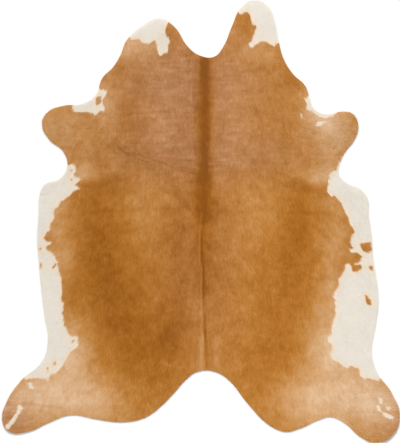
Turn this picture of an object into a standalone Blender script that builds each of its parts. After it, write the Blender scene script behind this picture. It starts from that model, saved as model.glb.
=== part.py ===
"""A cowhide rug: one whole hide, cut to its natural outline and laid flat, hair side up.

The hide lies with the neck towards +Y and its flesh side on the plane z = 0. It is one sheet with a flat
underside, apart from the low rises that it keeps along the spine, at two shoulder creases and at the ends
of the cheeks and legs. Its thickness is that of the skin and of the short hair lying on it.

Blender 4.5. Lengths are in metres, apart from those in the two tables, which are in millimetres.
"""

import math

import bmesh
import bpy
from mathutils import Vector
from mathutils.geometry import intersect_point_line

MM = 0.001

THICKNESS = 4 * MM  # skin of about 2.5 mm with its hair lying on it
CURVE_STEPS = 5  # straight edges between two outline points
LATTICE = 45 * MM  # widest spacing of the lines that cut the sheet into faces
RISE_LATTICE = 12 * MM  # spacing of those lines across the spine's rise
RISE_LINES = 3  # lines on each side of the spine
SNAP = 3 * MM  # a corner this near to such a line is taken to lie on it
SPINE_ACROSS = 12 * MM  # the spine's mean distance from the middle of the box
LEAST_RISE = 0.15 * MM  # a lower rise than this is left flat on the floor

# The outline, clockwise from above, a row for each region: (across, along) from the middle of the box.
OUTLINE = (
    ("right cheek", ((265, 1104), (334, 1074), (371, 990), (388, 905))),
    ("right neck", ((416, 808), (462, 736), (520, 680), (544, 618))),
    ("right armpit", ((563, 569), (622, 537))),
    ("right foreleg", ((700, 549), (757, 538), (784, 485), (770, 420))),
    ("right elbow", ((703, 318), (688, 240), (725, 196))),
    ("right brisket", ((800, 160), (836, 105))),
    ("right belly", ((838, 35), (852, -60), (860, -180), (886, -390))),
    ("right flank", ((874, -515), (853, -640), (876, -742))),
    ("right hind leg", ((960, -868), (992, -960), (965, -1056), (885, -1105), (800, -1078))),
    ("right hock", ((720, -1009), (650, -976), (590, -989))),
    ("right rump", ((498, -1031), (421, -1049), (340, -1016), (234, -910))),
    ("tail root", ((133, -786), (60, -746), (-20, -750), (-80, -795))),
    ("left rump", ((-125, -846), (-195, -919), (-284, -981), (-401, -1001))),
    ("left hock", ((-530, -985), (-645, -966))),
    ("left hind leg", ((-760, -1006), (-860, -1049), (-955, -1050), (-991, -1000), (-970, -900), (-892, -787))),
    ("left flank", ((-797, -700), (-765, -590), (-781, -480))),
    ("left belly", ((-800, -320), (-814, -170), (-818, -70), (-811, 30))),
    ("left brisket", ((-806, 135), (-780, 186))),
    ("left elbow", ((-705, 216), (-667, 275), (-684, 347))),
    ("left foreleg", ((-755, 408), (-793, 490), (-765, 546), (-690, 578))),
    ("left armpit", ((-590, 590), (-526, 634))),
    ("left neck", ((-492, 718), (-438, 773), (-402, 833))),
    ("left cheek", ((-372, 905), (-290, 978), (-211, 1014), (-135, 975))),
    ("nape", ((-65, 874), (-8, 831), (66, 824), (112, 875))),
    ("right cheek, inner side", ((155, 976), (200, 1066))),
)

# The rises: what it is, its two ends, its half width, and its height.
RISES = (
    ("spine on the neck", (8, 780), (14, 240), 34, 3.0),
    ("spine on the back", (14, 240), (4, -90), 30, 3.4),
    ("spine on the loin", (4, -90), (26, -640), 32, 3.0),
    ("left shoulder crease", (-415, 390), (-60, 222), 62, 2.4),
    ("right shoulder crease", (80, 290), (440, 340), 62, 2.2),
    ("left cheek", (-250, 985), (-170, 975), 120, 4.5),
    ("right cheek", (265, 1075), (300, 1010), 120, 6.0),
    ("left foreleg", (-775, 500), (-740, 500), 110, 5.0),
    ("right foreleg", (765, 490), (730, 490), 110, 5.0),
    ("left hind leg", (-965, -1010), (-920, -985), 130, 6.0),
    ("right hind leg", (965, -1030), (900, -1040), 130, 6.5),
    ("left belly", (-815, -90), (-810, 20), 90, 3.0),
    ("right belly", (868, -250), (880, -400), 90, 3.2),
)


def clear_scene():
    for thing in list(bpy.data.objects):
        bpy.data.objects.remove(thing, do_unlink=True)


def hide_collection():
    collection = bpy.data.collections.new("cowhide_rug")
    bpy.context.scene.collection.children.link(collection)
    return collection


def hide_material():
    """Short glossy hair of a warm mid brown."""
    material = bpy.data.materials.new("brown_hair_on_leather")
    material.use_nodes = True
    shader = material.node_tree.nodes["Principled BSDF"]
    shader.inputs["Base Color"].default_value = (0.51, 0.21, 0.055, 1.0)
    shader.inputs["Roughness"].default_value = 0.6
    shader.inputs["Metallic"].default_value = 0.0
    return material


def outline_curve():
    """A closed Bezier curve through the outline's points, filled as one flat face."""
    points = [point for _, row in OUTLINE for point in row]
    curve = bpy.data.curves.new("hide_outline", "CURVE")
    curve.dimensions = "2D"
    curve.fill_mode = "BOTH"
    curve.resolution_u = CURVE_STEPS
    spline = curve.splines.new("BEZIER")
    spline.bezier_points.add(len(points) - 1)
    spline.use_cyclic_u = True
    for control, (across, along) in zip(spline.bezier_points, points):
        control.co = (across * MM, along * MM, 0.0)
        control.handle_left_type = "AUTO"
        control.handle_right_type = "AUTO"
    return curve


def flat_sheet():
    """The outline as one flat polygon facing up, with the middle of its box at the origin."""
    guide = bpy.data.objects.new("hide_outline", outline_curve())
    bpy.context.scene.collection.objects.link(guide)
    graph = bpy.context.evaluated_depsgraph_get()
    mesh = bpy.data.meshes.new_from_object(guide.evaluated_get(graph))
    bpy.data.objects.remove(guide, do_unlink=True)

    sheet = bmesh.new()
    sheet.from_mesh(mesh)
    bpy.data.meshes.remove(mesh)
    bmesh.ops.remove_doubles(sheet, verts=sheet.verts, dist=0.1 * MM)
    bmesh.ops.dissolve_faces(sheet, faces=sheet.faces[:], use_verts=False)
    lowest, highest = box_of(sheet)
    middle = (lowest + highest) / 2
    bmesh.ops.translate(sheet, vec=(-middle.x, -middle.y, 0.0), verts=sheet.verts)
    for face in sheet.faces:
        if face.normal.z < 0:
            face.normal_flip()
    return sheet


def box_of(sheet):
    """The least and the greatest corner of the mesh's box."""
    least = Vector(min(vert.co[axis] for vert in sheet.verts) for axis in range(3))
    greatest = Vector(max(vert.co[axis] for vert in sheet.verts) for axis in range(3))
    return least, greatest


def cut_lines(sheet, axis, places):
    """Cuts every face where the coordinate on this axis has one of these values."""
    normal = Vector((0.0, 0.0, 0.0))
    normal[axis] = 1.0
    for place in places:
        bmesh.ops.bisect_plane(
            sheet,
            geom=sheet.verts[:] + sheet.edges[:] + sheet.faces[:],
            dist=SNAP,
            plane_co=normal * place,
            plane_no=normal,
        )


def even_places(start, end):
    """Places between start and end, no further apart than the lattice."""
    count = math.ceil((end - start) / LATTICE)
    return [start + (end - start) * step / count for step in range(1, count)]


def cut_lattice(sheet):
    """Cuts the polygon into the faces that the rises bend, closer together across the spine."""
    least, greatest = box_of(sheet)
    band = RISE_LINES * RISE_LATTICE
    spine_lines = [SPINE_ACROSS + step * RISE_LATTICE for step in range(-RISE_LINES, RISE_LINES + 1)]
    cut_lines(sheet, 0, even_places(least.x, SPINE_ACROSS - band))
    cut_lines(sheet, 0, spine_lines)
    cut_lines(sheet, 0, even_places(SPINE_ACROSS + band, greatest.x))
    cut_lines(sheet, 1, even_places(least.y, greatest.y))


def rise_at(place):
    """The height of the sheet's underside over the floor at this place."""
    height = 0.0
    for _, start, end, half_width, top in RISES:
        start, end = Vector(start) * MM, Vector(end) * MM
        nearest, share = intersect_point_line(place.xy, start, end)
        nearest = start.lerp(end, min(max(share, 0.0), 1.0))
        reach = (place.xy - nearest.xy).length / (half_width * MM)
        if reach < 1.0:
            height = max(height, top * MM * 0.5 * (1.0 + math.cos(math.pi * reach)))
    return height if height > LEAST_RISE else 0.0


def make_hide(collection):
    """The whole hide, with its rises, as a closed sheet of even thickness."""
    sheet = flat_sheet()
    cut_lattice(sheet)
    for vert in sheet.verts:
        vert.co.z = rise_at(vert.co)
    mesh = bpy.data.meshes.new("hide")
    sheet.to_mesh(mesh)
    sheet.free()
    mesh.materials.append(hide_material())

    hide = bpy.data.objects.new("hide", mesh)
    collection.objects.link(hide)
    solid = hide.modifiers.new("thickness", "SOLIDIFY")
    solid.thickness = THICKNESS
    solid.offset = 1.0
    solid.use_even_offset = True
    return hide


clear_scene()
make_hide(hide_collection())
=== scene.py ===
"""A cowhide rug lying flat on the floor, hair side up.

The rug is one tanned skin. Its leather is a thin sheet with a suede underside and a cut edge. On it lie a
dense undercoat and four runs of short flat locks, which carry the brown and white of the coat.

Lengths are in metres. The tables are in millimetres, across and along from the middle of the rug, with
the neck towards +Y. Angles are in degrees, from the tail's direction round towards the rug's right side.
"""

import math

import bmesh
import bpy
import numpy as np
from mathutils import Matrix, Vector
from mathutils.bvhtree import BVHTree


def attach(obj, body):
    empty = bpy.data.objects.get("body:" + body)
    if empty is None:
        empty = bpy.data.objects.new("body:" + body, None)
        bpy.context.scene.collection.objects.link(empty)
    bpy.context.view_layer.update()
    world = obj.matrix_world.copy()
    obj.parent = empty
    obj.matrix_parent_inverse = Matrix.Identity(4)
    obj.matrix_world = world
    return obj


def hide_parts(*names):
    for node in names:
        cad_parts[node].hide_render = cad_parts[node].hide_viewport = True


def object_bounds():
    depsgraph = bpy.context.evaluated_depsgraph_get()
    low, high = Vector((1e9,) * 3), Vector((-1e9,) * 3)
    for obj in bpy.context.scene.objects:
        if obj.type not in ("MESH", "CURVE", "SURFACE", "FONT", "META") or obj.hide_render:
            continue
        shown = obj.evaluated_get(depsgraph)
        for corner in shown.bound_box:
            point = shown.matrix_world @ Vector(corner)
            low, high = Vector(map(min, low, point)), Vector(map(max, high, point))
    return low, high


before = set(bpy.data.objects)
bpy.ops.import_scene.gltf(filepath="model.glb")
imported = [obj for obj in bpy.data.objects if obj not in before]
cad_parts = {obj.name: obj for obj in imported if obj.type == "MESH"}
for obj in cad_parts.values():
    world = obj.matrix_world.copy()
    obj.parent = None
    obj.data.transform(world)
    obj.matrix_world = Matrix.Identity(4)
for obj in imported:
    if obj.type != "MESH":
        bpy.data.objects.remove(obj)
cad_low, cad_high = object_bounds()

MM = 0.001
SEED = 11

# The layers, from the floor up.
LEATHER_THICK = 2.4 * MM
UNDERCOAT_THICK = 0.8 * MM
ROOT_DEPTH = 0.3 * MM  # how far a lock's root sinks into the undercoat

# Widths of the faces in each layer.
COAT_FACE = 9 * MM
LEATHER_FACE = 20 * MM
RISES_GRID = 0.012
RISES_MARGIN = 0.03
OUTLINE_STEPS = 4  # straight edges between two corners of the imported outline
SNAP = 1.2 * MM

# The locks.
RUNS = ("neck", "shoulder", "barrel", "rump")
LOCKS_IN_RUN = 96000
LOCK_CORNERS = 4
LOCK_LENGTH = 14 * MM
LOCK_WIDTH = 2.3 * MM
LOCK_RISE = 0.7 * MM
OVERHANG = 3 * MM
LENGTHS = (0.7, 1.25)  # of the lock's usual length, and so on
WIDTHS = (0.75, 1.3)
RISES_OF_LOCKS = (0.5, 1.2)
PITCHES = (-0.07, 0.0)  # radians
ROLLS = (-0.25, 0.25)
TURNS = (-0.16, 0.16)
WAVES_IN_A_METRE = 14.0
WAVES_TURN = 1.3

# The stage.
FLOOR_HALF = 12.0
WORLD_STRENGTH = 0.62
SUN_ENERGY = 2.9
SUN_SPREAD = 14  # degrees
SUN_WAY = (0.3, -1.5, -1.0)
CAMERA_HEIGHT = 9.0
CAMERA_PLACE = (-3.75 * MM, 0.75 * MM)
LENGTH_IN_VIEW = 2.215

# The brown and white of the coat. Each white patch runs past the rug's edge where it meets it.
WHITE_PATCHES = (
    ("left cheek", (
        (-372, 950), (-350, 916), (-306, 918), (-295, 905), (-263, 894), (-241, 908), (-222, 913),
        (-225, 899), (-214, 886), (-217, 859), (-200, 832), (-187, 845), (-162, 853), (-162, 891),
        (-149, 905), (-165, 929), (-176, 962), (-166, 990), (-120, 1060), (-400, 1060))),
    ("right cheek", (
        (180, 1046), (198, 1046), (236, 1057), (250, 1027), (258, 989), (277, 984), (266, 951),
        (252, 913), (233, 891), (255, 872), (271, 891), (296, 905), (317, 910), (339, 897),
        (361, 883), (380, 894), (420, 900), (420, 1160), (150, 1160))),
    ("left armpit", (
        (-540, 668), (-494, 668), (-464, 657), (-475, 634), (-487, 615), (-484, 590), (-475, 556),
        (-500, 562), (-509, 548), (-527, 539), (-551, 549), (-578, 556), (-600, 549), (-630, 553),
        (-650, 620), (-560, 660))),
    ("right armpit", (
        (511, 619), (526, 605), (521, 565), (549, 556), (583, 530), (624, 519), (652, 525),
        (700, 560), (560, 640))),
    ("right armpit, inner bits", (
        (489, 545), (497, 549), (509, 525), (500, 520))),
    ("right armpit, lower bits", (
        (560, 487), (583, 504), (629, 507), (612, 494), (578, 479))),
    ("left belly", (
        (-655, 283), (-639, 295), (-624, 287), (-618, 264), (-628, 241), (-624, 224), (-605, 226),
        (-593, 215), (-613, 199), (-624, 190), (-609, 178), (-593, 167), (-616, 165), (-639, 157),
        (-643, 142), (-655, 130), (-685, 111), (-701, 104), (-701, 84), (-724, 69), (-729, 52),
        (-725, 31), (-743, -4), (-752, -27), (-741, -36), (-768, -50), (-781, -78), (-770, -90),
        (-743, -96), (-739, -107), (-768, -119), (-760, -141), (-731, -155), (-720, -180),
        (-712, -195), (-708, -241), (-697, -253), (-697, -267), (-693, -293), (-689, -316),
        (-687, -335), (-689, -358), (-699, -381), (-680, -401), (-680, -423), (-689, -454),
        (-681, -477), (-680, -508), (-666, -534), (-655, -561), (-636, -567), (-609, -571),
        (-611, -592), (-603, -613), (-624, -630), (-647, -645), (-666, -676), (-685, -714),
        (-724, -753), (-743, -757), (-758, -791), (-771, -806), (-764, -779), (-777, -783),
        (-808, -778), (-880, -784), (-1000, -500), (-1000, 300), (-700, 330))),
    ("right belly", (
        (654, 255), (642, 243), (634, 220), (634, 193), (629, 174), (629, 151), (650, 128),
        (663, 134), (682, 117), (701, 90), (713, 59), (732, 29), (738, -10), (755, -25), (763, -48),
        (744, -78), (740, -98), (755, -128), (740, -132), (740, -163), (742, -195), (719, -209),
        (715, -235), (701, -258), (682, -285), (688, -308), (680, -328), (663, -347), (655, -374),
        (673, -385), (663, -401), (673, -412), (665, -439), (673, -451), (663, -473), (657, -504),
        (648, -535), (650, -562), (629, -573), (634, -596), (654, -611), (655, -634), (644, -653),
        (655, -684), (682, -696), (724, -730), (740, -715), (786, -730), (794, -772), (880, -790),
        (1100, -700), (1100, 300), (700, 330), (668, 262))),
    ("left hind hoof, upper sliver", ((-908, -912), (-880, -922), (-900, -962), (-918, -950))),
    ("left hind hoof, middle sliver", ((-922, -955), (-900, -968), (-930, -1008), (-945, -996))),
    ("left hind hoof, lower sliver", ((-948, -992), (-932, -1006), (-955, -1040), (-978, -1022))),
    ("left hind shin", ((-868, -800), (-838, -800), (-828, -835), (-846, -835))),
    ("right hind hoof, upper sliver", ((880, -877), (910, -880), (898, -910), (884, -904))),
    ("right hind hoof, side sliver", ((870, -916), (888, -912), (898, -944), (880, -948))),
    ("right hind hoof, lower sliver", ((904, -952), (934, -958), (960, -974), (946, -984), (910, -972))),
    ("right hind hoof, dot", ((926, -920), (942, -924), (938, -940), (924, -936))),
)
BROWN_SPOTS = (
    ("large spot on the right", ((793, -104), (845, -98), (848, -143), (820, -152), (800, -138))),
    ("spot joined to the right border", (
        (740, -150), (756, -155), (775, -147), (801, -174), (782, -201), (742, -212), (728, -190))),
    ("ring on the right", ((746, -212), (790, -209), (800, -222), (780, -247), (755, -244))),
    ("edge spot on the right", ((831, -220), (850, -214), (856, -236), (848, -241))),
    ("flank spot on the right", (
        (816, -366), (828, -360), (832, -378), (846, -380), (851, -408), (836, -412), (822, -398))),
    ("upper edge spot on the left", ((-803, -122), (-790, -126), (-794, -140), (-804, -138))),
    ("lower edge spot on the left", ((-800, -202), (-790, -205), (-790, -232), (-798, -230))),
    ("bit by the left border", ((-724, -200), (-716, -205), (-728, -235), (-738, -228))),
    ("bit in the left elbow", ((-648, 265), (-632, 263), (-636, 252), (-646, 254))),
    ("bit under the left elbow", ((-650, 216), (-640, 224), (-634, 214), (-646, 204))),
    ("bit in the left flank", ((-644, -595), (-628, -578), (-620, -588), (-634, -602))),
    ("pale bit on the left flank", ((-738, -695), (-720, -690), (-722, -712), (-736, -708))),
    ("streak on the left flank", ((-764, -722), (-756, -722), (-756, -752), (-762, -752))),
    ("island in the left armpit", ((-520, 630), (-495, 632), (-494, 596), (-516, 585), (-524, 600))),
)

# Broad clouds of lighter and darker hair: middle, reach across and along, and how much lighter.
MIDDLE_TONE = 0.38
CLOUDS = (
    ("left cheek", -330, 900, 110, 80, 0.36),
    ("right cheek", 300, 880, 100, 90, 0.14),
    ("left side of the neck", -480, 610, 60, 120, 0.30),
    ("right side of the neck", 560, 590, 70, 110, 0.26),
    ("neck, left of the stripe", -200, 560, 90, 330, 0.07),
    ("neck, right of the stripe", 150, 560, 100, 330, 0.08),
    ("left foreleg", -720, 480, 150, 170, 0.24),
    ("right armpit", 640, 500, 110, 110, 0.30),
    ("right foreleg", 680, 400, 150, 200, 0.16),
    ("left elbow", -600, 240, 110, 60, 0.26),
    ("right elbow", 620, 240, 90, 70, 0.20),
    ("left ribs", -300, 60, 90, 130, 0.10),
    ("right ribs", 300, 80, 110, 150, 0.10),
    ("left belly border", -720, 60, 80, 150, 0.26),
    ("left belly border, lower", -700, -200, 70, 110, 0.24),
    ("right belly border", 660, -100, 80, 260, 0.18),
    ("right belly border, lower", 660, -430, 90, 160, 0.26),
    ("left flank", -650, -640, 110, 150, 0.44),
    ("right flank", 640, -640, 130, 140, 0.42),
    ("left hind leg", -800, -860, 230, 150, 0.48),
    ("left thigh", -530, -900, 150, 110, 0.30),
    ("right hind leg", 820, -880, 230, 160, 0.54),
    ("right thigh", 520, -900, 150, 120, 0.34),
    ("left barrel", -500, -80, 120, 320, -0.22),
    ("left loin", -400, -440, 170, 240, -0.18),
    ("left rump", -250, -640, 160, 170, -0.14),
    ("right barrel", 500, -40, 110, 220, -0.13),
    ("right loin", 420, -310, 150, 260, -0.10),
    ("right rump", 360, -620, 150, 180, -0.09),
    ("left of the backbone", -110, -60, 80, 360, -0.14),
    ("right of the backbone", 70, -100, 60, 320, -0.12),
    ("left croup", -150, -560, 110, 200, -0.12),
    ("darker left neck", -300, 500, 60, 260, -0.05),
)

# Hair of a cooler, pinker brown, or less of it where negative: middle, reach and how much.
PINK_CLOUDS = (
    ("neck", -60, 680, 380, 280, 0.95),
    ("shoulders", 0, 340, 640, 130, 0.55),
    ("back", 0, -150, 200, 620, 0.42),
    ("dark stripe down the neck", 22, 560, 48, 330, -0.75),
    ("backbone", 12, 40, 46, 300, -0.4),
    ("left hind hoof", -950, -960, 120, 100, 0.9),
    ("right hind hoof", 960, -960, 100, 120, 0.7),
)

# Creases and lines in the coat: half width, rise, how much lighter, and the way they run. Where a crease,
# fold, ridge or parting is lighter or darker, and at a turn of the hair, that is painted shade and painted
# highlight. The stripes, the strips and the scratch are the hair's own colour.
LINES = (
    ("dark stripe down the neck", 26, 0, -0.30, ((21, 800), (24, 620), (22, 400), (16, 230))),
    ("broad stripe down the neck", 48, 0, -0.16, ((8, 810), (8, 500), (8, 220), (12, 60))),
    ("dark stripe on the back", 38, 0, -0.20, ((14, 200), (10, 0), (8, -330))),
    # The dark of these neck creases is painted shade.
    ("left neck crease", 4, -0.5, -0.16, ((3, 818), (3, 713))),
    ("right neck crease", 4, -0.5, -0.16, ((27, 818), (26, 713))),
    ("healed scratch", 3, 0.2, 0.20, ((-201, -700), (-150, -712), (-75, -718))),
    ("upper fork of the scratch", 3, 0.2, 0.18, ((-196, -687), (-150, -712))),
    ("lower fork of the scratch", 3, 0.2, 0.16, ((-110, -716), (-92, -732))),
    # The dark of the parting is painted shade, and its pale edge is a painted highlight.
    ("painted shade in the parting on the back", 5, -0.8, -0.30, (
        (15, 100), (14, 28), (3, -87), (5, -167), (15, -262), (14, -292), (20, -522), (26, -612),
        (28, -717))),
    ("painted highlight on the edge of the parting", 5, 0.3, 0.16, (
        (6, 60), (-6, -87), (-4, -167), (6, -262), (8, -500), (14, -600))),
    # A painted highlight along a low ridge down the neck.
    ("painted highlight on the ridge down the neck", 4, 0.4, 0.14, ((-44, 828), (-46, 640), (-44, 513))),
    ("pale strip by the tail", 14, 0, 0.16, ((0, -580), (6, -730))),
    ("second pale strip by the tail", 16, 0, 0.12, ((78, -570), (82, -720))),
    # Shoulder creases: painted shade where they sink, painted highlight where they rise.
    ("left shoulder crease", 6, -0.8, -0.16, (
        (-406, 381), (-374, 353), (-336, 340), (-289, 313), (-254, 306))),
    ("lower left shoulder crease", 6, -0.8, -0.14, (
        (-339, 351), (-279, 333), (-182, 303), (-104, 266), (-19, 248))),
    ("right shoulder crease", 6, 0.6, 0.12, ((38, 301), (113, 302), (199, 309))),
    ("shade under the right shoulder crease", 8, -0.5, -0.12, ((38, 287), (140, 288))),
    ("short crease on the right shoulder", 5, 0.4, 0.12, ((314, 326), (354, 331))),
    ("left turn of the hair, shade", 30, 0, -0.10, ((-600, 180), (-500, 196), (-420, 214))),
    ("left turn of the hair, light", 26, 0, 0.08, ((-600, 236), (-500, 252), (-420, 268))),
    ("right turn of the hair, shade", 30, 0, -0.10, ((440, 190), (540, 172), (630, 160))),
    ("right turn of the hair, light", 26, 0, 0.08, ((440, 244), (540, 226), (620, 214))),
    # The dark of the fold lines and of the hind leg crease is painted shade.
    ("left fold line", 9, -0.3, -0.07, ((-770, 20), (-500, 58), (-200, 70), (-10, 74))),
    ("right fold line", 9, -0.3, -0.07, ((60, 58), (300, 56), (640, 48))),
    ("left hind leg crease", 6, -0.8, -0.14, ((-964, -907), (-859, -907), (-714, -922), (-684, -930))),
)

# The brown from dark to pale, as the golden hair and as the pinker hair have it.
GOLDEN_BROWN = (
    (0.0, (147, 84, 16)), (0.15, (168, 102, 22)), (0.34, (188, 123, 46)), (0.46, (199, 139, 68)),
    (0.67, (214, 165, 111)), (0.83, (224, 184, 140)), (1.0, (236, 205, 170)))
PINKER_BROWN = (
    (0.0, (140, 84, 36)), (0.15, (158, 100, 54)), (0.34, (180, 124, 79)), (0.46, (190, 137, 95)),
    (0.67, (211, 166, 127)), (0.83, (222, 186, 152)), (1.0, (234, 205, 176)))
RIM_WHITE = (246, 229, 205)
DEEP_WHITE = (239, 233, 222)
DULL_WHITE = (214, 203, 188)

# Mottling of the brown: along the hair or not, spots in a metre, detail, and how much lighter or darker.
MOTTLING = (
    (False, 5, 3, 0.18), (False, 15, 3, 0.34), (False, 34, 2, 0.22), (True, 60, 3, 0.24),
    (True, 130, 2, 0.16),
)
# Painted shade and highlight of the fine horizontal ripples in the neck's hair: spots in a metre, detail,
# and how much lighter or darker.
NECK_RIPPLE_SHADE = (60, 2, 0.50)
LOCK_CONTRAST = 0.14

# The ragged border of the white, and how far in its warm rim reaches.
RAGGED_BY = 14 * MM
BORDER_BLUR = 2.5 * MM
RIM_REACH = 30 * MM

# The way the hair lies: place and angle.
LAY = (
    ("poll", 20, 800, 0), ("withers", 15, 400, 0), ("back", 15, 0, 0), ("rump", 15, -650, 0),
    ("left cheek", -250, 950, -12), ("right cheek", 280, 1000, 12),
    ("left neck", -420, 700, -28), ("right neck", 440, 700, 28),
    ("left foreleg", -740, 500, -80), ("right foreleg", 740, 480, 80),
    ("left shoulder", -420, 300, -35), ("right shoulder", 420, 300, 35),
    ("left belly", -760, -50, -50), ("right belly", 800, -100, 50),
    ("left barrel", -400, -150, -22), ("right barrel", 420, -150, 22),
    ("left flank", -720, -520, -38), ("right flank", 800, -520, 38),
    ("left thigh", -420, -800, -20), ("right thigh", 440, -850, 20),
    ("left hind leg", -900, -960, -62), ("right hind leg", 900, -1000, 62),
)


# ---- Numbers worked out over the surface ----

def segment_distances(at, start, end):
    """The distance of each place from one segment."""
    start, end = np.array(start, np.float32) * MM, np.array(end, np.float32) * MM
    run = end - start
    share = ((at - start) @ run / (run @ run)).clip(0, 1)
    return np.hypot(*(at - start - share[:, None] * run).T)


def inside(at, corners):
    """Whether each place lies inside the closed outline."""
    corners = np.array(corners, np.float32) * MM
    crossings = np.zeros(len(at), bool)
    for (x0, y0), (x1, y1) in zip(corners, np.roll(corners, -1, axis=0)):
        if y0 != y1:
            spans = (at[:, 1] < y0) != (at[:, 1] < y1)
            crossings ^= spans & (at[:, 0] < x0 + (at[:, 1] - y0) * (x1 - x0) / (y1 - y0))
    return crossings


def depth_inside(at, corners):
    """How deep each place lies inside the closed outline, negative outside it."""
    depth = np.full(len(at), 1.0, np.float32)
    for start, end in zip(corners, corners[1:] + corners[:1]):
        depth = np.minimum(depth, segment_distances(at, start, end))
    return np.where(inside(at, corners), depth, -depth)


def white_depth(at):
    """How deep each place lies in the white hair, negative in the brown."""
    depth = np.full(len(at), -1.0, np.float32)
    for _, corners in WHITE_PATCHES:
        depth = np.maximum(depth, depth_inside(at, corners))
    for _, corners in BROWN_SPOTS:
        depth = np.minimum(depth, -depth_inside(at, corners))
    return depth


def clouds(at, table):
    total = np.zeros(len(at), np.float32)
    for _, across, along, reach_across, reach_along, amount in table:
        near = ((at - np.array((across, along)) * MM) / (np.array((reach_across, reach_along)) * MM)) ** 2
        total += amount * np.exp(-near.sum(1))
    return total


def lines(at, column):
    """The sum of one column of the lines' table, each line fading out over its half width."""
    total = np.zeros(len(at), np.float32)
    for _, half_width, rise, lighter, points in LINES:
        amount = (rise * MM, lighter)[column]
        if amount:
            nearest = np.full(len(at), 1.0, np.float32)
            for start, end in zip(points, points[1:]):
                nearest = np.minimum(nearest, segment_distances(at, start, end))
            total += amount * np.exp(-((nearest / (half_width * MM)) ** 2))
    return total


def lay_angles(at):
    """The turn of the hair at each place, in radians."""
    total, weights = np.zeros(len(at)), np.zeros(len(at))
    for _, across, along, degrees in LAY:
        weight = 1 / (((at - np.array((across, along)) * MM) ** 2).sum(1) + 0.05 ** 2) ** 1.5
        total += weight * math.radians(degrees)
        weights += weight
    return total / weights


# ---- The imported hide's outline and rises ----

def packed_top():
    """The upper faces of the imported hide, merged into one open sheet."""
    top = bmesh.new()
    top.from_mesh(bpy.data.objects["hide"].data)
    bmesh.ops.remove_doubles(top, verts=top.verts, dist=0.01 * MM)
    top.normal_update()
    others = [face for face in top.faces if face.normal.z < 0.5]
    bmesh.ops.delete(top, geom=others, context="FACES")
    return top


def outline_corners(top):
    """The corners of the open sheet's edge, in order."""
    edge = next(edge for edge in top.edges if edge.is_boundary)
    first, corner = edge.verts
    corners = [first]
    while corner != first:
        corners.append(corner)
        edge = next(other for other in corner.link_edges if other.is_boundary and other != edge)
        corner = edge.other_vert(corner)
    return [corner.co.copy() for corner in corners]


class Rises:
    """The height of the skin's underside over the floor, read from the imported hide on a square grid."""

    def __init__(self, top):
        tree = BVHTree.FromBMesh(top)
        self.low = np.array(cad_low[:2]) - RISES_MARGIN
        size = np.array(cad_high[:2]) - self.low + RISES_MARGIN
        self.step = RISES_GRID
        self.count = np.ceil(size / self.step).astype(int) + 1
        heights = np.zeros(self.count, np.float32)
        for column in range(self.count[0]):
            for row in range(self.count[1]):
                x, y = self.low + self.step * np.array((column, row))
                heights[column, row] = tree.find_nearest(Vector((x, y, cad_high[2])))[0].z
        heights -= heights.min()
        for _ in range(3):
            padded = np.pad(heights, 1, mode="edge")
            heights = sum(
                padded[across:across + self.count[0], along:along + self.count[1]]
                for across in range(3) for along in range(3)
            ) / 9
        self.heights = heights

    def __call__(self, at):
        place = ((at - self.low) / self.step).clip(0, self.count - 1.001)
        cell = place.astype(int)
        share = place - cell
        (x, y), (fx, fy) = cell.T, share.T
        packed = (
            self.heights[x, y] * (1 - fx) * (1 - fy)
            + self.heights[x + 1, y] * fx * (1 - fy)
            + self.heights[x, y + 1] * (1 - fx) * fy
            + self.heights[x + 1, y + 1] * fx * fy
        )
        # A crease never sinks under the floor.
        return np.maximum(packed + lines(at, 0), 0.0)


# ---- Meshes ----

def flat_outline(corners):
    """One flat polygon inside a smooth curve through the corners."""
    curve = bpy.data.curves.new("outline", "CURVE")
    curve.dimensions = "2D"
    curve.fill_mode = "BOTH"
    curve.resolution_u = OUTLINE_STEPS
    spline = curve.splines.new("BEZIER")
    spline.bezier_points.add(len(corners) - 1)
    spline.use_cyclic_u = True
    for control, corner in zip(spline.bezier_points, corners):
        control.co = (corner.x, corner.y, 0.0)
        control.handle_left_type = control.handle_right_type = "AUTO"
    guide = bpy.data.objects.new("outline", curve)
    bpy.context.scene.collection.objects.link(guide)
    mesh = bpy.data.meshes.new_from_object(guide.evaluated_get(bpy.context.evaluated_depsgraph_get()))
    bpy.data.objects.remove(guide)
    bpy.data.curves.remove(curve)

    sheet = bmesh.new()
    sheet.from_mesh(mesh)
    bpy.data.meshes.remove(mesh)
    bmesh.ops.remove_doubles(sheet, verts=sheet.verts, dist=0.05 * MM)
    bmesh.ops.dissolve_faces(sheet, faces=sheet.faces[:], use_verts=False)
    for face in sheet.faces:
        if face.normal.z < 0:
            face.normal_flip()
    return sheet


def cut_squares(sheet, width):
    """Cuts the flat polygon into squares of about this width."""
    for axis in (0, 1):
        normal = Vector((1 - axis, axis, 0))
        low, high = cad_low[axis], cad_high[axis]
        count = math.ceil((high - low) / width)
        for step in range(1, count):
            place = low + (high - low) * step / count
            bmesh.ops.bisect_plane(
                sheet, geom=sheet.verts[:] + sheet.edges[:] + sheet.faces[:],
                dist=SNAP, plane_co=normal * place, plane_no=normal)


def places_of(mesh, count=3):
    places = np.empty(len(mesh.vertices) * 3, np.float32)
    mesh.vertices.foreach_get("co", places)
    return places.reshape(-1, 3)[:, :count]


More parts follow.
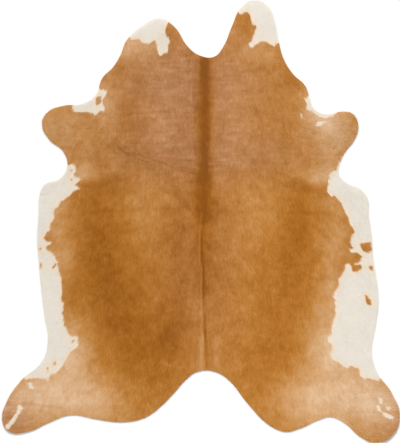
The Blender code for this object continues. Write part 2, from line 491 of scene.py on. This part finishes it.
def layer(name, corners, rises, width, bottom, thick):
    """A closed sheet of even thickness that lies on the rises, this far over the skin's underside."""
    sheet = flat_outline(corners)
    cut_squares(sheet, width)
    at = np.array([vert.co.xy for vert in sheet.verts], np.float32)
    for vert, height in zip(sheet.verts, rises(at)):
        vert.co.z = float(height) + bottom
    lower = sheet.faces[:]
    upper = bmesh.ops.duplicate(sheet, geom=sheet.verts[:] + sheet.edges[:] + lower)
    top_verts = [item for item in upper["geom"] if isinstance(item, bmesh.types.BMVert)]
    bmesh.ops.translate(sheet, verts=top_verts, vec=(0, 0, thick))
    bmesh.ops.reverse_faces(sheet, faces=lower)
    rim = [edge for edge in sheet.edges if edge.is_boundary]
    bmesh.ops.bridge_loops(sheet, edges=rim)
    bmesh.ops.recalc_face_normals(sheet, faces=sheet.faces)
    mesh = bpy.data.meshes.new(name)
    sheet.to_mesh(mesh)
    sheet.free()
    piece = bpy.data.objects.new(name, mesh)
    bpy.context.scene.collection.objects.link(piece)
    return piece


def add_plan_map(mesh):
    """A map of the piece seen from straight above, filling the square."""
    corner_vertex = np.empty(len(mesh.loops), np.int32)
    mesh.loops.foreach_get("vertex_index", corner_vertex)
    plan = places_of(mesh, 2)
    low, high = plan.min(0), plan.max(0)
    plan = 0.004 + 0.992 * (plan - low) / (high - low)
    mesh.uv_layers.new(name="OFBake").uv.foreach_set("vector", plan[corner_vertex].ravel())


def store(mesh, name, values):
    mesh.attributes.new(name, "FLOAT", "POINT").data.foreach_set("value", values.astype(np.float32))


def store_coat_values(mesh, roots, at, corners_each=1):
    """What the coat's colour needs: pigment by the hair's root, and the lines' tone, with the painted shade
    and highlight of the creases, by each point's own place.
    """
    store(mesh, "white", white_depth(roots).repeat(corners_each))
    # The tone also carries the painted shade and highlight of the creases and ridges, read at each point's
    # own place.
    store(mesh, "tone", (MIDDLE_TONE + clouds(roots, CLOUDS)).repeat(corners_each) + lines(at, 1))
    store(mesh, "pink", clouds(roots, PINK_CLOUDS).repeat(corners_each))


# ---- Node trees ----

def add_node(tree, kind, inputs=None, **settings):
    """A node with these settings. An input is a value, or a socket to link from."""
    node = tree.nodes.new(kind)
    for name, value in settings.items():
        setattr(node, name, value)
    for name, value in (inputs or {}).items():
        socket = node.inputs[name]
        if isinstance(value, bpy.types.NodeSocket):
            tree.links.new(value, socket)
        else:
            socket.default_value = value
    return node


def math_node(tree, operation, *values, clamp=False):
    inputs = dict(enumerate(values))
    return add_node(tree, "ShaderNodeMath", inputs, operation=operation, use_clamp=clamp).outputs[0]


def named(tree, name, kind="FLOAT"):
    node = add_node(tree, "GeometryNodeInputNamedAttribute", {"Name": name}, data_type=kind)
    return node.outputs["Attribute"]


def random_between(tree, low, high, seed):
    node = add_node(tree, "FunctionNodeRandomValue", data_type="FLOAT")
    floats = [socket for socket in node.inputs if socket.enabled and socket.name in ("Min", "Max")]
    floats[0].default_value = low
    floats[1].default_value = high
    node.inputs["Seed"].default_value = seed
    return next(socket for socket in node.outputs if socket.enabled)


def scatter_tree(lock, start, end, density, seed):
    """Lays locks on the undercoat between two places along the rug, each turned to the hair's lay."""
    tree = bpy.data.node_groups.new("locks", "GeometryNodeTree")
    tree.interface.new_socket("Geometry", in_out="INPUT", socket_type="NodeSocketGeometry")
    tree.interface.new_socket("Geometry", in_out="OUTPUT", socket_type="NodeSocketGeometry")
    coat = tree.nodes.new("NodeGroupInput").outputs["Geometry"]
    position = add_node(tree, "GeometryNodeInputPosition").outputs[0]
    along = add_node(tree, "ShaderNodeSeparateXYZ", {0: position}).outputs["Y"]
    normal = add_node(tree, "GeometryNodeInputNormal").outputs[0]
    upward = add_node(tree, "ShaderNodeSeparateXYZ", {0: normal}).outputs["Z"]
    chosen = math_node(
        tree, "MULTIPLY",
        math_node(tree, "GREATER_THAN", along, start),
        math_node(tree, "LESS_THAN", along, end))
    chosen = math_node(tree, "MULTIPLY", chosen, math_node(tree, "GREATER_THAN", upward, 0.5))
    points = add_node(
        tree, "GeometryNodeDistributePointsOnFaces",
        {"Mesh": coat, "Selection": chosen, "Density": density, "Seed": seed},
        distribute_method="RANDOM").outputs["Points"]
    points = add_node(
        tree, "GeometryNodeStoreNamedAttribute",
        {"Geometry": points, "Name": "root", "Value": position},
        data_type="FLOAT_VECTOR", domain="POINT").outputs[0]
    shade = random_between(tree, 0.0, 1.0, 1)
    points = add_node(
        tree, "GeometryNodeStoreNamedAttribute", {"Geometry": points, "Name": "shade", "Value": shade},
        data_type="FLOAT", domain="POINT").outputs[0]

    waves = add_node(
        tree, "ShaderNodeTexNoise", {"Vector": position, "Scale": WAVES_IN_A_METRE, "Detail": 2.0},
        noise_dimensions="3D").outputs[0]
    wander = math_node(tree, "MULTIPLY", math_node(tree, "SUBTRACT", waves, 0.5), WAVES_TURN)
    turn = math_node(tree, "ADD", named(tree, "lay"), wander)
    turn = math_node(tree, "ADD", turn, random_between(tree, *TURNS, 2))
    pitch = random_between(tree, *PITCHES, 3)
    roll = random_between(tree, *ROLLS, 4)
    rotation = add_node(tree, "ShaderNodeCombineXYZ", {0: pitch, 1: roll, 2: turn}).outputs[0]

    room = math_node(tree, "ADD", named(tree, "inset"), OVERHANG)
    room = math_node(tree, "DIVIDE", room, LOCK_LENGTH)
    length = math_node(
        tree, "MULTIPLY", math_node(tree, "MINIMUM", room, 1.0), random_between(tree, *LENGTHS, 5))
    width = random_between(tree, *WIDTHS, 6)
    rise = random_between(tree, *RISES_OF_LOCKS, 7)
    scale = add_node(tree, "ShaderNodeCombineXYZ", {0: width, 1: length, 2: rise}).outputs[0]
    one_lock = add_node(tree, "GeometryNodeObjectInfo", {"Object": lock}).outputs["Geometry"]
    locks = add_node(
        tree, "GeometryNodeInstanceOnPoints",
        {"Points": points, "Instance": one_lock, "Rotation": rotation, "Scale": scale}).outputs[0]
    realized = add_node(tree, "GeometryNodeRealizeInstances", {"Geometry": locks}).outputs[0]
    add_node(tree, "NodeGroupOutput", {"Geometry": realized})
    return tree


def lock_shape():
    """One flat lock of hair: a long diamond with a low ridge, from its root at the origin to the tail."""
    lock = bmesh.new()
    verts = bmesh.ops.create_circle(lock, cap_ends=True, segments=4, radius=0.5)["verts"]
    tail = min(verts, key=lambda vert: vert.co.y)
    root = max(verts, key=lambda vert: vert.co.y)
    bmesh.ops.connect_verts(lock, verts=[tail, root])
    for vert in verts:
        vert.co.y = (vert.co.y - 0.5) * LOCK_LENGTH
        if vert not in (tail, root):
            vert.co.x *= LOCK_WIDTH
            vert.co.y += 0.1 * LOCK_LENGTH
            vert.co.z = LOCK_RISE
    root.co.x = tail.co.x = 0.0
    tail.co.z = 0.9 * LOCK_RISE
    bmesh.ops.recalc_face_normals(lock, faces=lock.faces)
    if lock.faces[:][0].normal.z < 0:
        bmesh.ops.reverse_faces(lock, faces=lock.faces)
    mesh = bpy.data.meshes.new("one_lock")
    lock.to_mesh(mesh)
    lock.free()
    return bpy.data.objects.new("one_lock", mesh)


def run_of_locks(name, undercoat, lock, rises, start, end, area, seed):
    """One run of the coat's locks, as a mesh that lies on the rises."""
    count = LOCKS_IN_RUN // 1
    carrier = bpy.data.objects.new(name, undercoat.data)
    bpy.context.scene.collection.objects.link(carrier)
    modifier = carrier.modifiers.new("locks", "NODES")
    modifier.node_group = scatter_tree(lock, start, end, count / area, seed)
    graph = bpy.context.evaluated_depsgraph_get()
    mesh = bpy.data.meshes.new_from_object(carrier.evaluated_get(graph))
    bpy.data.objects.remove(carrier)
    mesh.name = name

    places = places_of(mesh)
    roots = np.empty(len(mesh.vertices) * 3, np.float32)
    mesh.attributes["root"].data.foreach_get("vector", roots)
    roots = roots.reshape(-1, 3)[:, :2]
    at = places[:, :2]
    places[:, 2] += rises(at) - rises(roots) - ROOT_DEPTH
    mesh.vertices.foreach_set("co", places.ravel())
    store_coat_values(mesh, roots[::LOCK_CORNERS], at, LOCK_CORNERS)
    add_plan_map(mesh)
    piece = bpy.data.objects.new(name, mesh)
    bpy.context.scene.collection.objects.link(piece)
    return piece


# ---- Materials ----

def linear(red, green, blue):
    """A colour given in the usual 0 to 255 steps."""
    def channel(step):
        share = step / 255
        return share / 12.92 if share <= 0.04045 else ((share + 0.055) / 1.055) ** 2.4
    return (channel(red), channel(green), channel(blue), 1.0)


def attribute(tree, name, output="Fac"):
    return add_node(tree, "ShaderNodeAttribute", attribute_name=name).outputs[output]


def noise(tree, place, scale, detail=2.0, roughness=0.5):
    return add_node(
        tree, "ShaderNodeTexNoise",
        {"Vector": place, "Scale": scale, "Detail": detail, "Roughness": roughness}).outputs[0]


def mixed(tree, share, first, second):
    node = add_node(tree, "ShaderNodeMix", data_type="RGBA")
    sockets = [socket for socket in node.inputs if socket.enabled]
    for socket, value in zip(sockets, (share, first, second)):
        if isinstance(value, bpy.types.NodeSocket):
            tree.links.new(value, socket)
        else:
            socket.default_value = value
    return next(socket for socket in node.outputs if socket.enabled)


def ramp(tree, share, stops):
    """A colour ramp from stops of a place and a colour in 0 to 255 steps."""
    node = add_node(tree, "ShaderNodeValToRGB", {"Fac": share})
    elements = node.color_ramp.elements
    while len(elements) < len(stops):
        elements.new(0.5)
    for element, (place, colour) in zip(elements, stops):
        element.position = place
        element.color = linear(*colour)
    return node.outputs["Color"]


def coat_colour_group():
    """The colour of cow hair from its place, its depth in the white, its tone and how pink it is, with the
    painted shade and highlight of the neck's ripples.
    """
    tree = bpy.data.node_groups.new("cow_hair_colour", "ShaderNodeTree")
    for name, kind in (
        ("Place", "NodeSocketVector"), ("White", "NodeSocketFloat"), ("Tone", "NodeSocketFloat"),
        ("Pink", "NodeSocketFloat"), ("Shade", "NodeSocketFloat"),
    ):
        tree.interface.new_socket(name, in_out="INPUT", socket_type=kind)
    tree.interface.new_socket("Color", in_out="OUTPUT", socket_type="NodeSocketColor")
    given = tree.nodes.new("NodeGroupInput").outputs
    place = given["Place"]

    def centred(value, amount):
        return math_node(tree, "MULTIPLY", math_node(tree, "SUBTRACT", value, 0.5), amount)

    streaked = add_node(
        tree, "ShaderNodeMapping", {"Vector": place, "Scale": (1.5, 0.6, 1.0)}).outputs[0]
    rippled = add_node(
        tree, "ShaderNodeMapping", {"Vector": place, "Scale": (0.16, 1.6, 1.0)}).outputs[0]
    tone = given["Tone"]
    for along_hair, scale, detail, amount in MOTTLING:
        spots = noise(tree, streaked if along_hair else place, scale, detail)
        tone = math_node(tree, "ADD", tone, centred(spots, amount))
    # The neck's ripples as painted shade and highlight, strongest where the hair is pinker.
    scale, detail, amount = NECK_RIPPLE_SHADE
    ripple_shade = centred(noise(tree, rippled, scale, detail), amount)
    tone = math_node(tree, "ADD", tone, math_node(tree, "MULTIPLY", ripple_shade, given["Pink"]))
    tone = math_node(tree, "ADD", tone, centred(given["Shade"], LOCK_CONTRAST), clamp=True)
    brown = ramp(tree, tone, GOLDEN_BROWN)
    pinker = ramp(tree, tone, PINKER_BROWN)
    brown = mixed(tree, given["Pink"], brown, pinker)

    jagged = math_node(tree, "ADD", given["White"], centred(noise(tree, place, 70, 2, 0.6), RAGGED_BY))
    in_white = math_node(tree, "MULTIPLY_ADD", jagged, 1 / BORDER_BLUR, 0.5, clamp=True)
    deep = math_node(tree, "MULTIPLY", jagged, 1 / RIM_REACH, clamp=True)
    white = mixed(tree, deep, linear(*RIM_WHITE), linear(*DEEP_WHITE))
    cast = math_node(tree, "MULTIPLY", noise(tree, place, 60, 3), 0.35)
    cast = math_node(tree, "ADD", cast, centred(given["Shade"], 0.18), clamp=True)
    white = mixed(tree, cast, white, linear(*DULL_WHITE))
    colour = mixed(tree, in_white, brown, white)
    add_node(tree, "NodeGroupOutput", {"Color": colour})
    return tree


def new_material(name, roughness):
    material = bpy.data.materials.new(name)
    material.use_nodes = True
    shader = material.node_tree.nodes["Principled BSDF"]
    shader.inputs["Roughness"].default_value = roughness
    shader.inputs["Metallic"].default_value = 0.0
    return material, material.node_tree, shader


def coloured_coat(tree, group, place):
    """The coat's colour from the piece's own values."""
    node = add_node(tree, "ShaderNodeGroup", node_tree=group)
    tree.links.new(place, node.inputs["Place"])
    for name in ("White", "Tone", "Pink"):
        tree.links.new(attribute(tree, name.lower()), node.inputs[name])
    return node


def lock_material(group):
    material, tree, shader = new_material("short_lying_hair", 0.55)
    node = coloured_coat(tree, group, attribute(tree, "root", "Vector"))
    tree.links.new(attribute(tree, "shade"), node.inputs["Shade"])
    tree.links.new(node.outputs["Color"], shader.inputs["Base Color"])
    shader.inputs["Specular IOR Level"].default_value = 0.15
    return material


def undercoat_material(group):
    material, tree, shader = new_material("undercoat", 0.75)
    place = add_node(tree, "ShaderNodeTexCoord").outputs["Object"]
    node = coloured_coat(tree, group, place)
    node.inputs["Shade"].default_value = 0.3
    tree.links.new(node.outputs["Color"], shader.inputs["Base Color"])
    shader.inputs["Specular IOR Level"].default_value = 0.1
    return material


def suede_material():
    """The flesh side: pale tan suede with a fine nap and some uneven dye."""
    material, tree, shader = new_material("suede_flesh_side", 0.9)
    place = add_node(tree, "ShaderNodeTexCoord").outputs["Object"]
    cloud = noise(tree, place, 6, 4, 0.6)
    nap = noise(tree, place, 420, 2)
    shade = math_node(tree, "MULTIPLY_ADD", nap, 0.35, math_node(tree, "MULTIPLY", cloud, 0.65))
    colour = ramp(tree, shade, (
        (0.3, (176, 160, 140)), (0.5, (204, 191, 172)), (0.75, (222, 212, 196))))
    tree.links.new(colour, shader.inputs["Base Color"])
    bump = add_node(tree, "ShaderNodeBump", {"Height": nap, "Strength": 0.4, "Distance": 0.3 * MM})
    tree.links.new(bump.outputs[0], shader.inputs["Normal"])
    return material


# ---- The rug ----

def build_rug():
    top = packed_top()
    corners = outline_corners(top)
    rises = Rises(top)
    top.free()
    group = coat_colour_group()

    leather = layer("leather", corners, rises, LEATHER_FACE, 0.0, LEATHER_THICK)
    leather.data.materials.append(suede_material())
    add_plan_map(leather.data)

    undercoat = layer("undercoat", corners, rises, COAT_FACE, LEATHER_THICK, UNDERCOAT_THICK)
    at = places_of(undercoat.data, 2)
    edge = [(corner.x / MM, corner.y / MM) for corner in corners]
    store_coat_values(undercoat.data, at, at)
    store(undercoat.data, "lay", lay_angles(at))
    store(undercoat.data, "inset", np.maximum(depth_inside(at, edge), 0))
    undercoat.data.materials.append(undercoat_material(group))
    add_plan_map(undercoat.data)

    areas = np.array([(face.center.y, face.area) for face in undercoat.data.polygons if face.normal.z > 0.5])
    areas = areas[np.argsort(-areas[:, 0])]
    total = areas[:, 1].sum()
    ends = np.searchsorted(areas[:, 1].cumsum() / total, np.arange(1, len(RUNS)) / len(RUNS))
    ends = [1e3, *areas[ends, 0], -1e3]
    lock = lock_shape()
    material = lock_material(group)
    runs = []
    for number, name in enumerate(RUNS):
        run = run_of_locks(
            f"hair_{name}", undercoat, lock, rises, ends[number + 1], ends[number],
            total / len(RUNS), SEED + number)
        run.data.materials.clear()
        run.data.materials.append(material)
        runs.append(run)
    bpy.data.objects.remove(lock)

    for piece in (leather, undercoat, *runs):
        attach(piece, "root")
    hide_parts("hide")


# ---- The stage ----

def build_stage():
    """A white floor, soft light from the neck's side, and a camera straight above."""
    floor = bmesh.new()
    bmesh.ops.create_grid(floor, x_segments=1, y_segments=1, size=FLOOR_HALF)
    mesh = bpy.data.meshes.new("floor")
    floor.to_mesh(mesh)
    floor.free()
    ground = bpy.data.objects.new("floor", mesh)
    bpy.context.scene.collection.objects.link(ground)
    material, _, shader = new_material("white_floor", 0.9)
    shader.inputs["Base Color"].default_value = (0.9, 0.9, 0.9, 1.0)
    shader.inputs["Specular IOR Level"].default_value = 0.1
    mesh.materials.append(material)

    world = bpy.data.worlds.new("studio")
    bpy.context.scene.world = world
    world.use_nodes = True
    background = world.node_tree.nodes["Background"]
    background.inputs["Color"].default_value = (1.0, 1.0, 1.0, 1.0)
    background.inputs["Strength"].default_value = WORLD_STRENGTH

    sun = bpy.data.lights.new("window_light", "SUN")
    sun.energy = SUN_ENERGY
    sun.angle = math.radians(SUN_SPREAD)
    lamp = bpy.data.objects.new("window_light", sun)
    lamp.rotation_euler = Vector(SUN_WAY).to_track_quat("-Z", "Y").to_euler()
    bpy.context.scene.collection.objects.link(lamp)

    camera = bpy.data.cameras.new("camera")
    camera.sensor_width = 36.0
    camera.lens = camera.sensor_width * CAMERA_HEIGHT / LENGTH_IN_VIEW
    viewer = bpy.data.objects.new("camera", camera)
    viewer.location = (*CAMERA_PLACE, CAMERA_HEIGHT)
    bpy.context.scene.collection.objects.link(viewer)
    bpy.context.scene.camera = viewer
    bpy.context.scene.view_settings.view_transform = "Standard"


build_stage()
build_rug()
